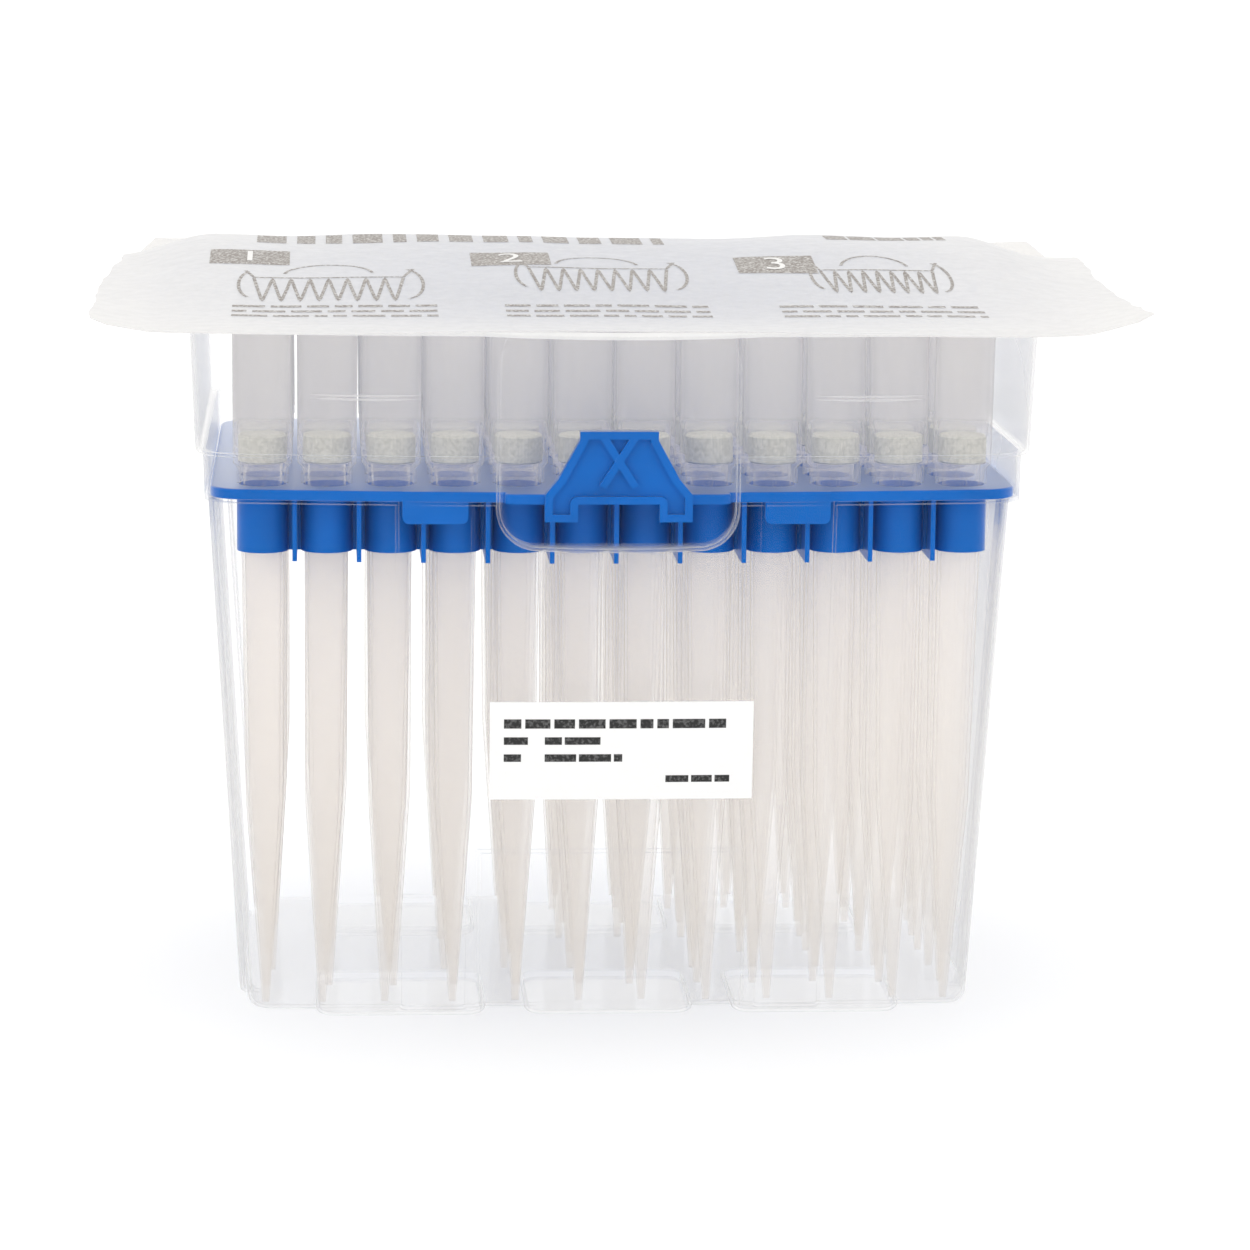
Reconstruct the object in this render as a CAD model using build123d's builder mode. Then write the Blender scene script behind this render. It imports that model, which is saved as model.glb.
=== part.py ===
from build123d import *

import os
from math import atan2, copysign, degrees, hypot, radians, tan

# A sealed refill pack of 96 filter pipette tips. A clear blister tray holds a blue rack of 12 by 8
# sockets, each socket holds a tip with a filter in its hub, and a film is sealed over the flange.
# X runs along the 12 columns, Y along the 8 rows with the front at -Y, and Z is up.
# The origin is the middle of the underside, on the plane that the tray's feet stand on.

# Tip grid, at the standard well spacing
PITCH = 9.0
COLUMNS = 12
ROWS = 8

# Blister tray, formed from one clear sheet
WALL = 0.45
FOOT_DEPTH = 1.1
LEDGE_HEIGHT = 75.8
BAND_HEIGHT = 6.5
BASE_MARGIN_X = 2.4
BASE_MARGIN_Y = 2.5
BASE_CORNER = 3.4
BASE_BOW = 0.4
BASE_ROUND = 2.0
LEDGE = 0.95
STEP = 1.0
STEP_ROUND = 0.9
UPPER_DRAFT = 2.2
UPPER_CORNER = 6.5
FLANGE = 5.0
FLANGE_CORNER = 10.0

# Feet under the floor, three along each long side
FOOT_PITCH = 30.0
FOOT_LENGTH = 24.4
FOOT_WIDTH = 20.5
FOOT_INSET = 0.8
FOOT_CORNER = 3.0
FOOT_ROUND = 0.8

# Upright channels in the long walls and the end walls, and the panel low on the long walls
CHANNEL_SPACING = 50.8
CHANNEL_WIDTH = 10.0
CHANNEL_FLARE = 0.6
CHANNEL_RELIEF = 0.9
CHANNEL_ROUND = 1.0
END_CHANNEL_WIDTH = 48.0
END_CHANNEL_RELIEF = 1.3
END_CHANNEL_SETBACK = 0.15
PANEL_LENGTH = 37.6
PANEL_HEIGHT = 24.6
PANEL_DEPTH = 0.6

# Finger bulges in the middle of the long walls, and the stacking lugs beside them
BULGE_WIDTH = 34.0
BULGE_DROP = 6.4
BULGE_REACH = 4.5
BULGE_CROWN = 3.6
BULGE_CORNER = 5.6
BULGE_ROUND = 3.0
FLANGE_LIP_LENGTH = 54.0
FLANGE_LIP_REACH = 4.3
LUG_SPACING = 68.6
LUG_RADIUS = 14.0
LUG_REACH = 2.4
LUG_TAPER = 0.7
LUG_HEIGHT = 9.8

# Rack
RACK_MARGIN_X = 7.3
RACK_MARGIN_Y = 5.4
RACK_BOW = 3.6
RACK_CORNER = 5.0
RACK_GAP = 0.35
RACK_ROUND = 0.4
PLATE_THICKNESS = 1.4
SOCKET_DEPTH = 8.0
SOCKET_WALL = 0.34
WEB_THICKNESS = 0.65
WEB_DROP = 0.95
WEB_SETBACK = 2.0

# Rack handles, on a lip of the plate that stands in each bulge, and hook tabs in the channels
LIP_PLAY = 0.75
LIP_REACH = 1.8
LIP_CORNER = 1.5
HANDLE_HEIGHT = 8.9
HANDLE_TOP_WIDTH = 10.9
HANDLE_TOP_BAND = 1.2
HANDLE_WAIST_WIDTH = 16.9
HANDLE_WAIST_HEIGHT = 2.2
HANDLE_FOOT_WIDTH = 20.6
HANDLE_SLOT_WIDTH = 11.4
HANDLE_SLOT_TOP = -1.3
HANDLE_LEG_DROP = 3.8
HANDLE_WEB = 0.9
HANDLE_RIB = 1.1
HANDLE_RIB_RISE = 0.7
HANDLE_BRACE_SPREAD = 2.3
HOOK_TAB_PLAY = 0.4
HOOK_TAB_DROP = 3.2
HOOK_TAB_THICKNESS = 1.0
HOOK_TAB_CORNER = 1.0

# Tip, measured up and down from its seat on the plate, and the filter pressed into its hub
TIP_STAND = 22.2
HEADROOM = 0.82
NECK_RADIUS = 3.15
SEAT_REACH = 0.47
HUB_REACH = 1.0
HUB_WALL = 0.6
SKIRT_HEIGHT = 2.5
SKIRT_CHAMFER = 0.4
SHOULDER_DROP = 46.0
SHOULDER_TAPER = 0.5
POINT_RADIUS = 0.5
POINT_CLEARANCE = 0.35
TIP_WALL = 0.5
POINT_WALL = 0.24
FIN_COUNT = 8
FIN_THICKNESS = 0.45
FIN_ROOT = 0.2
SEAT_CLEARANCE = 0.08
NECK_CLEARANCE = 0.15
FILTER_LIFT = 3.0
FILTER_HEIGHT = 4.0
FILTER_CHAMFER = 0.25
FILTER_STEP = 0.15

# Lean of each tip's point, in mm, which the play in the sockets allows
POINT_LEANS = (0.1, -0.8, -0.85, -0.1, 0.0, 0.1, 0.2, 0.55, 0.4, 0.5, 0.75, -0.9)
LEAN_SHIFT = 5
ROW_LEAN = 0.2

# Sealing film, which overhangs the flange and is a little crowned over the hubs
FILM_THICKNESS = 0.2
FILM_END_REACH = 10.8
FILM_FRONT_REACH = 3.5
FILM_BACK_REACH = 5.8
FILM_CORNER = 5.0
FILM_SWEEP = 4.5
FILM_DIP = 3.4
FILM_CROWN = 5.0
FILM_CROWN_INSET = 14.0

# Label on the front wall, between the channels
LABEL_LENGTH = 37.4
LABEL_HEIGHT = 14.3
LABEL_THICKNESS = 0.12
LABEL_CENTRE_X = 1.1
LABEL_CENTRE_Z = 39.8

# Sizes that follow from the ones above
GRID_X = (COLUMNS - 1) * PITCH / 2
GRID_Y = (ROWS - 1) * PITCH / 2
RACK_X = GRID_X + RACK_MARGIN_X
RACK_Y = GRID_Y + RACK_MARGIN_Y
PLATE_TOP = LEDGE_HEIGHT + PLATE_THICKNESS
SOCKET_BOTTOM = LEDGE_HEIGHT - SOCKET_DEPTH
SEAT_HEIGHT = PLATE_TOP + SEAT_CLEARANCE
STEP_HEIGHT = LEDGE_HEIGHT + BAND_HEIGHT
TRAY_HEIGHT = SEAT_HEIGHT + TIP_STAND + HEADROOM
BULGE_BOTTOM = LEDGE_HEIGHT - BULGE_DROP
LUG_BOTTOM = TRAY_HEIGHT - LUG_HEIGHT
BORE_RADIUS = NECK_RADIUS + NECK_CLEARANCE
SEAT_RADIUS = NECK_RADIUS + SEAT_REACH
HUB_RADIUS = NECK_RADIUS + HUB_REACH
SHOULDER_RADIUS = NECK_RADIUS - SHOULDER_TAPER
FILTER_RADIUS = HUB_RADIUS - HUB_WALL - FILTER_STEP
POINT_DROP = SEAT_HEIGHT - (FOOT_DEPTH + WALL + POINT_CLEARANCE)
BASE_X = GRID_X + BASE_MARGIN_X
BASE_Y = GRID_Y + BASE_MARGIN_Y
BAND_X = RACK_X + RACK_GAP + WALL
BAND_Y = RACK_Y + RACK_GAP + WALL
BODY_X = RACK_X - LEDGE + WALL
BODY_Y = RACK_Y - LEDGE + WALL
SLOPE = tan(radians(UPPER_DRAFT))
STEP_X = BAND_X + SLOPE * BAND_HEIGHT
STEP_Y = BAND_Y + SLOPE * BAND_HEIGHT
TOP_X = STEP_X + STEP + SLOPE * (TRAY_HEIGHT - STEP_HEIGHT)
TOP_Y = STEP_Y + STEP + SLOPE * (TRAY_HEIGHT - STEP_HEIGHT)
FLANGE_X = TOP_X + FLANGE
FLANGE_Y = TOP_Y + FLANGE
BULGE_FRONT = TOP_Y + RACK_BOW + BULGE_REACH
LIP_FRONT = RACK_Y + RACK_BOW + LIP_REACH
LIP_LENGTH = BULGE_WIDTH - 2 * (WALL + LIP_PLAY)
CHANNEL_X = CHANNEL_SPACING / 2
HOOK_TAB_WIDTH = CHANNEL_WIDTH - 2 * HOOK_TAB_PLAY
FILM_X = FLANGE_X + FILM_END_REACH
FILM_FRONT = FLANGE_Y + FILM_FRONT_REACH
FILM_BACK = FLANGE_Y + FILM_BACK_REACH
OVERCUT = 1.0


def bow_at(x, half_length, bow):
    """How far a shallow bow stands out at x from its middle."""
    return bow * (1 - (x / half_length) ** 2)


def bowed_rectangle(half_length, half_width, bow):
    """Lines of a rectangle round the origin whose two long sides bow outwards by an arc."""
    front = ThreePointArc((-half_length, -half_width), (0, -half_width - bow), (half_length, -half_width))
    side = Line(front @ 1, (half_length, half_width))
    back = ThreePointArc(side @ 1, (0, half_width + bow), (-half_length, half_width))
    Line(back @ 1, front @ 0)


def outline(height, half_x, half_y, bow, corner, inset=0.0):
    """Rounded rectangle at a height, with its long sides bowed outwards."""
    with BuildSketch(Plane.XY.offset(height)) as sketch:
        with BuildLine():
            bowed_rectangle(half_x - inset, half_y - inset, bow)
        make_face()
        fillet(sketch.vertices(), corner - inset)
    return sketch.sketch


def lower_body(inset, relief=0.0):
    """The tapered lower part, from the floor to the ledge that the rack rests on."""
    with BuildPart() as body:
        add(outline(FOOT_DEPTH + inset, BASE_X, BASE_Y, BASE_BOW, BASE_CORNER,
                    inset + relief))
        add(outline(LEDGE_HEIGHT - WALL + inset, BODY_X, BODY_Y, RACK_BOW, RACK_CORNER,
                    inset + relief))
        loft(ruled=True)
        fillet(body.faces().sort_by(Axis.Z)[0].edges(), BASE_ROUND - inset)
    return body.part


def upper_body(inset, top):
    """The band round the rack's edge, and the wider chamber round the hubs above its step."""
    step = STEP_HEIGHT - WALL + inset
    with BuildPart() as band:
        add(outline(LEDGE_HEIGHT - WALL + inset, BAND_X, BAND_Y, RACK_BOW, RACK_CORNER, inset))
        add(outline(step, STEP_X, STEP_Y, RACK_BOW, UPPER_CORNER, inset))
        loft(ruled=True)
    with BuildPart() as chamber:
        rise = SLOPE * (top - TRAY_HEIGHT)
        add(outline(step, STEP_X + STEP, STEP_Y + STEP, RACK_BOW, UPPER_CORNER, inset))
        add(outline(top, TOP_X + rise, TOP_Y + rise, RACK_BOW, UPPER_CORNER, inset))
        loft(ruled=True)
        fillet(chamber.faces().sort_by(Axis.Z)[0].edges(), STEP_ROUND - inset)
    return [band.part, chamber.part]


def channel(inset, centre_x, base_size, top_size):
    """An upright channel across the tray, open to its inside, that widens towards the ledge."""
    with BuildPart() as groove:
        for height, size in ((FOOT_DEPTH, base_size), (LEDGE_HEIGHT, top_size)):
            with BuildSketch(Plane.XY.offset(height + inset)):
                with Locations((centre_x, 0)):
                    Rectangle(size[0] - 2 * inset, size[1] - 2 * inset)
        loft(ruled=True)
        fillet(groove.edges().sort_by(Axis.Z)[:-4], CHANNEL_ROUND - inset)
    return groove.part


def channels(inset):
    """The channels in the long walls, and the one that runs from end wall to end wall."""
    reach = BAND_Y + bow_at(CHANNEL_X + CHANNEL_WIDTH / 2 + CHANNEL_FLARE, BAND_X, RACK_BOW)
    base = (CHANNEL_WIDTH, 2 * (BASE_Y + CHANNEL_RELIEF))
    top = (CHANNEL_WIDTH + 2 * CHANNEL_FLARE, 2 * reach)
    end_base = (2 * (BASE_X + END_CHANNEL_RELIEF), END_CHANNEL_WIDTH)
    end_top = (2 * (BAND_X - END_CHANNEL_SETBACK), END_CHANNEL_WIDTH + 2 * CHANNEL_FLARE)
    return [
        channel(inset, -CHANNEL_X, base, top),
        channel(inset, CHANNEL_X, base, top),
        channel(inset, 0, end_base, end_top),
    ]


def bulges(inset, top):
    """The pair of finger bulges, made as one form that reaches through the tray."""
    half = BULGE_WIDTH / 2 - inset
    front = BULGE_FRONT - inset
    bottom = BULGE_BOTTOM + inset
    with BuildPart() as form:
        with BuildSketch(Plane.XZ) as face:
            with Locations((0, (bottom + top) / 2)):
                Rectangle(2 * half, top - bottom)
            fillet(face.vertices().group_by(Axis.Z)[0], BULGE_CORNER - inset)
        extrude(amount=front, both=True)
        with BuildSketch(Plane.XY.offset(bottom - OVERCUT)):
            with BuildLine():
                bowed_rectangle(half, front - BULGE_CROWN, BULGE_CROWN)
            make_face()
        extrude(amount=top - bottom + 2 * OVERCUT, mode=Mode.INTERSECT)
        faces = form.faces().sort_by(Axis.Y)
        rims = (faces[0].edges() + faces[-1].edges()).sort_by(Axis.Z)[:-2]
        fillet(rims, BULGE_ROUND - inset)
    return form.part


def lugs(inset, top):
    """Four stacking lugs: tapered rounds that stand a little out of the long walls."""
    wall = STEP_Y + STEP + SLOPE * (LUG_BOTTOM - STEP_HEIGHT)
    wall += bow_at(LUG_SPACING / 2, TOP_X, RACK_BOW)
    centre = wall + LUG_REACH - LUG_RADIUS
    height = top - LUG_BOTTOM - inset
    with BuildPart() as rounds:
        with Locations(*[(x, y, LUG_BOTTOM + inset) for x in (-LUG_SPACING / 2, LUG_SPACING / 2)
                         for y in (-centre, centre)]):
            Cone(LUG_RADIUS - inset, LUG_RADIUS - LUG_TAPER - inset, height,
                 align=(Align.CENTER, Align.CENTER, Align.MIN))
    return rounds.part


def feet(inset):
    """The six hollow feet that the tray stands on."""
    row = BASE_Y - FOOT_INSET - FOOT_WIDTH / 2
    with BuildPart() as pads:
        with BuildSketch(Plane.XY.offset(inset)):
            with GridLocations(FOOT_PITCH, 2 * row, 3, 2):
                RectangleRounded(FOOT_LENGTH - 2 * inset, FOOT_WIDTH - 2 * inset,
                                 FOOT_CORNER - inset)
        extrude(amount=2 * FOOT_DEPTH)
        fillet(pads.edges().group_by(Axis.Z)[0], FOOT_ROUND - inset)
    return pads.part


def panel_cut(inset):
    """What the shallow panels low on the long walls take away from the tray's form."""
    with BuildPart() as cut:
        with Locations((0, 0, FOOT_DEPTH + inset - OVERCUT)):
            Box(PANEL_LENGTH + 2 * inset, 2 * BAND_Y, PANEL_HEIGHT - FOOT_DEPTH + OVERCUT,
                align=(Align.CENTER, Align.CENTER, Align.MIN))
        add(lower_body(inset, PANEL_DEPTH), mode=Mode.SUBTRACT)
        with Locations((0, 0, FOOT_DEPTH + inset - OVERCUT)):
            Box(PANEL_LENGTH + 2 * inset, 2 * (BASE_Y - BASE_ROUND), 2 * OVERCUT,
                align=(Align.CENTER, Align.CENTER, Align.MIN), mode=Mode.SUBTRACT)
    return cut.part


def tray_form(inset, top):
    """The tray as a filled form: its outside with no inset, its hollow when inset by the wall."""
    with BuildPart() as form:
        add(lower_body(inset))
        add(panel_cut(inset), mode=Mode.SUBTRACT)
        add(channels(inset))
        add(feet(inset))
        add(upper_body(inset, top))
        add(bulges(inset, top))
        add(lugs(inset, top))
    return form.part


def film_crown(drop):
    """The filled form under the film's gentle crown, lowered by drop."""
    base = TRAY_HEIGHT - drop
    with BuildPart() as crown:
        add(outline(base, TOP_X, TOP_Y, RACK_BOW, UPPER_CORNER))
        add(outline(base + FILM_THICKNESS + FILM_CROWN, TOP_X - FILM_CROWN_INSET,
                    TOP_Y - FILM_CROWN_INSET, RACK_BOW, UPPER_CORNER))
        loft(ruled=True)
    return crown.part


def handle_lines():
    """Lines of a handle's front view: a trapezoid on two legs, symmetrical in X."""
    leg = PLATE_TOP - HANDLE_LEG_DROP
    slot = PLATE_TOP + HANDLE_SLOT_TOP
    top = PLATE_TOP + HANDLE_HEIGHT
    Polyline(
        (0, top),
        (HANDLE_TOP_WIDTH / 2, top),
        (HANDLE_TOP_WIDTH / 2, top - HANDLE_TOP_BAND),
        (HANDLE_WAIST_WIDTH / 2, PLATE_TOP + HANDLE_WAIST_HEIGHT),
        (HANDLE_FOOT_WIDTH / 2, PLATE_TOP),
        (HANDLE_FOOT_WIDTH / 2, leg),
        (HANDLE_SLOT_WIDTH / 2, leg),
        (HANDLE_SLOT_WIDTH / 2, slot),
        (0, slot),
    )
    mirror(about=Plane.YZ)


def handle():
    """The front handle: a thin web with a raised border and a cross brace, facing -Y."""
    low = PLATE_TOP + HANDLE_WAIST_HEIGHT / 2
    high = PLATE_TOP + HANDLE_HEIGHT - HANDLE_TOP_BAND / 2
    lean = degrees(atan2(high - low, 2 * HANDLE_BRACE_SPREAD))
    with BuildPart() as grip:
        with BuildSketch(Plane.XZ.offset(LIP_FRONT - HANDLE_WEB)):
            with BuildLine():
                handle_lines()
            make_face()
        extrude(amount=HANDLE_WEB)
        with BuildSketch(Plane.XZ.offset(LIP_FRONT)):
            with BuildLine():
                handle_lines()
            make_face()
            offset(amount=-HANDLE_RIB, mode=Mode.SUBTRACT)
            with Locations((0, (low + high) / 2)):
                for angle in (-lean, lean):
                    Rectangle(hypot(high - low, 2 * HANDLE_BRACE_SPREAD), HANDLE_RIB, rotation=angle)
        extrude(amount=HANDLE_RIB_RISE)
    return grip.part


def rack_plate():
    """The rack's plate with its two lips, rounded along its upper edge."""
    with BuildPart() as plate:
        with BuildSketch(Plane.XY.offset(LEDGE_HEIGHT)):
            add(outline(0, RACK_X, RACK_Y, RACK_BOW, RACK_CORNER))
            RectangleRounded(LIP_LENGTH, 2 * LIP_FRONT, LIP_CORNER)
        extrude(amount=PLATE_THICKNESS)
        fillet(plate.faces().sort_by(Axis.Z)[-1].edges(), RACK_ROUND)
    return plate.part


def hook_tabs():
    """The front pair of hook tabs, which hang from the plate's edge into the wall's channels."""
    face = RACK_Y + bow_at(CHANNEL_X + HOOK_TAB_WIDTH / 2, RACK_X, RACK_BOW)
    with BuildPart() as tabs:
        with BuildSketch(Plane.XZ.offset(face - HOOK_TAB_THICKNESS)) as front:
            with Locations((-CHANNEL_X, LEDGE_HEIGHT), (CHANNEL_X, LEDGE_HEIGHT)):
                Rectangle(HOOK_TAB_WIDTH, 2 * HOOK_TAB_DROP)
            fillet(front.vertices().group_by(Axis.Z)[0], HOOK_TAB_CORNER)
            with Locations((0, PLATE_TOP + HOOK_TAB_DROP)):
                Rectangle(2 * RACK_X, 2 * HOOK_TAB_DROP, mode=Mode.SUBTRACT)
        extrude(amount=HOOK_TAB_THICKNESS)
    return tabs.part


def tip():
    """One tip, with its seat at the origin: hub with standing fins above, tapered body below."""
    point_bore = POINT_RADIUS - POINT_WALL
    neck_bore = NECK_RADIUS - TIP_WALL
    filter_top = FILTER_LIFT + FILTER_HEIGHT
    hub_bore = HUB_RADIUS - HUB_WALL
    with BuildPart() as piece:
        with BuildSketch(Plane.XZ):
            with BuildLine():
                Polyline(
                    (point_bore, -POINT_DROP),
                    (POINT_RADIUS, -POINT_DROP),
                    (SHOULDER_RADIUS, -SHOULDER_DROP),
                    (NECK_RADIUS, 0),
                    (NECK_RADIUS + FIN_ROOT, SKIRT_HEIGHT - SKIRT_CHAMFER),
                    (HUB_RADIUS, SKIRT_HEIGHT + SKIRT_CHAMFER),
                    (HUB_RADIUS, TIP_STAND),
                    (hub_bore, TIP_STAND),
                    (hub_bore, filter_top + FILTER_STEP),
                    (FILTER_RADIUS, filter_top),
                    (FILTER_RADIUS, FILTER_LIFT),
                    (neck_bore, FILTER_LIFT),
                    (neck_bore, 0),
                    (SHOULDER_RADIUS - TIP_WALL, -SHOULDER_DROP),
                    (point_bore, -POINT_DROP),
                )
            make_face()
        revolve(axis=Axis.Z)
        with PolarLocations(SEAT_RADIUS, FIN_COUNT):
            Box(SEAT_RADIUS - NECK_RADIUS + FIN_ROOT, FIN_THICKNESS, SKIRT_HEIGHT,
                align=(Align.MAX, Align.CENTER, Align.MIN))
    return piece.part


def tip_filter():
    """One porous filter plug, in the place that it takes above the tip's seat."""
    with BuildPart() as plug:
        with Locations((0, 0, FILTER_LIFT)):
            Cylinder(FILTER_RADIUS, FILTER_HEIGHT, align=(Align.CENTER, Align.CENTER, Align.MIN))
        chamfer(plug.edges().filter_by(GeomType.CIRCLE), FILTER_CHAMFER)
    return plug.part


def seats(column):
    """Where one column's tips stand, each leaning a little within its socket's play."""
    x = column * PITCH - GRID_X
    places = []
    for row in range(ROWS):
        y = row * PITCH - GRID_Y
        shift = POINT_LEANS[(column + LEAN_SHIFT * row) % COLUMNS]
        if column in (0, COLUMNS - 1):
            shift = copysign(shift, -x)
        sway = ROW_LEAN * (-1) ** (row + column)
        turn = (degrees(atan2(sway, POINT_DROP)), degrees(atan2(-shift, POINT_DROP)), 0)
        places.append(Location((x, y, SEAT_HEIGHT), turn))
    return places


def save(piece, name):
    """Label a finished piece and write it to its own file."""
    piece.part.label = name
    export_step(piece.part, f"parts/{name}.step")


os.makedirs("parts", exist_ok=True)

# Blister tray: the filled form and its flange, less the hollow
with BuildPart() as blister_tray:
    add(tray_form(0.0, TRAY_HEIGHT))
    with BuildSketch(Plane.XY.offset(TRAY_HEIGHT - WALL)):
        add(outline(0, FLANGE_X, FLANGE_Y, RACK_BOW, FLANGE_CORNER))
        with BuildLine():
            lip_root = FLANGE_Y - OVERCUT
            bowed_rectangle(FLANGE_LIP_LENGTH / 2, lip_root, BULGE_FRONT + FLANGE_LIP_REACH - lip_root)
        make_face()
    extrude(amount=WALL)
    add(tray_form(WALL, TRAY_HEIGHT + OVERCUT), mode=Mode.SUBTRACT)
save(blister_tray, "blister_tray")

# Lidding film: a sheet sealed flat on the flange and crowned inside it
with BuildPart() as lidding_film:
    with BuildSketch(Plane.XY.offset(TRAY_HEIGHT)) as film_face:
        with BuildLine():
            corner = FILM_FRONT - FILM_SWEEP
            edge = Spline((-FILM_X, -corner), (-LUG_SPACING / 2, -FILM_FRONT), (0, -FILM_FRONT + FILM_DIP),
                          (LUG_SPACING / 2, -FILM_FRONT), (FILM_X, -corner))
            Polyline(edge @ 1, (FILM_X, FILM_BACK), (-FILM_X, FILM_BACK), edge @ 0)
        make_face()
        fillet(film_face.vertices().group_by(Axis.Y)[-1], FILM_CORNER)
    extrude(amount=FILM_THICKNESS)
    add(film_crown(0.0))
    add(film_crown(FILM_THICKNESS), mode=Mode.SUBTRACT)
save(lidding_film, "lidding_film")

# Label: a thin skin on the front wall
with BuildPart() as label:
    add(lower_body(-LABEL_THICKNESS))
    add(lower_body(0.0), mode=Mode.SUBTRACT)
    with Locations((LABEL_CENTRE_X, 0, LABEL_CENTRE_Z)):
        Box(LABEL_LENGTH, BAND_Y + RACK_BOW, LABEL_HEIGHT, align=(Align.CENTER, Align.MAX, Align.CENTER),
            mode=Mode.INTERSECT)
save(label, "label")

# Tip rack: plate with lips, socket block with webs, handles and hook tabs
with BuildPart() as tip_rack:
    add(rack_plate())
    with BuildSketch(Plane.XY.offset(SOCKET_BOTTOM)):
        with GridLocations(PITCH, PITCH, COLUMNS, ROWS):
            Circle(BORE_RADIUS + SOCKET_WALL)
        with GridLocations(0, PITCH, 1, ROWS):
            Rectangle(2 * GRID_X, WEB_THICKNESS)
    extrude(amount=SOCKET_DEPTH)
    for gap in range(1, COLUMNS):
        x = gap * PITCH - GRID_X - PITCH / 2
        reach = RACK_Y - WEB_SETBACK + bow_at(x, RACK_X, RACK_BOW)
        with BuildSketch(Plane.XY.offset(SOCKET_BOTTOM - WEB_DROP)):
            with Locations((x, 0)):
                Rectangle(WEB_THICKNESS, 2 * reach)
        extrude(amount=SOCKET_DEPTH + WEB_DROP)
    with BuildSketch(Plane.XY.offset(SOCKET_BOTTOM)):
        with GridLocations(PITCH, PITCH, COLUMNS, ROWS):
            Circle(BORE_RADIUS)
    extrude(amount=SOCKET_DEPTH + PLATE_THICKNESS, mode=Mode.SUBTRACT)
    add(hook_tabs())
    add(mirror(hook_tabs(), about=Plane.XZ, mode=Mode.PRIVATE))
    add(handle())
    add(mirror(handle(), about=Plane.XZ, mode=Mode.PRIVATE))
save(tip_rack, "tip_rack")

# Tips and their filters, one node of each for every column
one_tip = tip()
one_filter = tip_filter()
for column in range(COLUMNS):
    with BuildPart() as tips:
        with Locations(*seats(column)):
            add(one_tip)
    save(tips, f"tips_column_{column + 1:02d}")
    with BuildPart() as filters:
        with Locations(*seats(column)):
            add(one_filter)
    save(filters, f"filters_column_{column + 1:02d}")
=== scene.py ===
import math
import random

import bmesh
import bpy
from mathutils import Matrix, Vector, noise


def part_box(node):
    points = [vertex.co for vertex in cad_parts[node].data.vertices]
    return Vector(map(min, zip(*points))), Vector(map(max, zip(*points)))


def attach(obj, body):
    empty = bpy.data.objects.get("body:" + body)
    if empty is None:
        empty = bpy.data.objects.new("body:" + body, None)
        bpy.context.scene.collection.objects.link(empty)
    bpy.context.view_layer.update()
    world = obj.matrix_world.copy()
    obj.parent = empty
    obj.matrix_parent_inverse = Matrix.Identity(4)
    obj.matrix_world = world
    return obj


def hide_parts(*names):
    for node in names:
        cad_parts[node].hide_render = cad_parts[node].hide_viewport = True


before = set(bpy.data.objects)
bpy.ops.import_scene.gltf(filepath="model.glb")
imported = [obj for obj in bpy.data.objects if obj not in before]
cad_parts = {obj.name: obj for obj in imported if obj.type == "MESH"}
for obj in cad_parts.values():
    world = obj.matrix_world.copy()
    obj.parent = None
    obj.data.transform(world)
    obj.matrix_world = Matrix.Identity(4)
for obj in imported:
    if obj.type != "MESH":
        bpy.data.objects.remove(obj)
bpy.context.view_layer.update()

bl_info = {
    "name": "Pipette tip refill pack",
    "version": (1, 0, 0),
    "blender": (4, 5, 0),
    "location": "3D View > Sidebar > Tip Pack",
    "description": "Dresses a sealed pack of pipette tips: clear tray, blue rack, tips, film and label",
    "category": "Object",
}

MM = 0.001
BODY = "root"
TRAY_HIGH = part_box("blister_tray")[1]
FILM_LOW, FILM_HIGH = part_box("lidding_film")
LABEL_LOW, LABEL_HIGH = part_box("label")
RACK_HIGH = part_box("tip_rack")[1]

# The film's surface: its seal, its pillow from front to back, and how it runs out at the ends
SEAL_LIFT = 0.25 * MM
PILLOW_FRONT = 12.4 * MM
PILLOW_BACK = 9.0 * MM
PILLOW_RISE = 66.0 * MM
PILLOW_FALL = 12.0 * MM
PILLOW_END = 57.0 * MM
PILLOW_END_RUN = 14.0 * MM
PILLOW_END_LOSS = 0.45
OVERHANG_RUN = 10.0 * MM
CURL_RUN = 7.0 * MM
DROOP_START = 8.0 * MM
DROOP_RUN = 6.0 * MM
FILM_THICKNESS = 0.14 * MM

# Where the film's three plaques are centred, and each drawing's left, right, front and back
PLAQUE_LENGTH = 11.8 * MM
PLAQUE_DEPTH = 10.6 * MM
PLAQUES = ((-0.0518, 0.008), (-0.0132, 0.007), (0.026, 0.0025))
DRAWINGS = (
    (-0.051, -0.0293, -0.02, 0.0026),
    (-0.0108, 0.0096, -0.0145, 0.0085),
    (0.0323, 0.049, -0.0145, 0.007),
)
DRAWN_TIPS = 8

# The film's greeked lines: some in front of each plaque, and the title's two runs at the back.
# A title run has its left, right, place in depth, height, seed and gap.
NOTE_LEFT = 0.002
NOTE_RIGHT = 0.027
NOTE_PLACE = -0.0235
NOTE_PITCH = 0.0036
NOTE_HEIGHT = 0.0014
NOTE_ROWS = 3
TITLE_RUNS = (
    (-0.051, 0.012, 0.0262, 0.0085, 77, 0.0016),
    (0.036, 0.0545, 0.0262, 0.006, 12, 0.0004),
)

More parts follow.
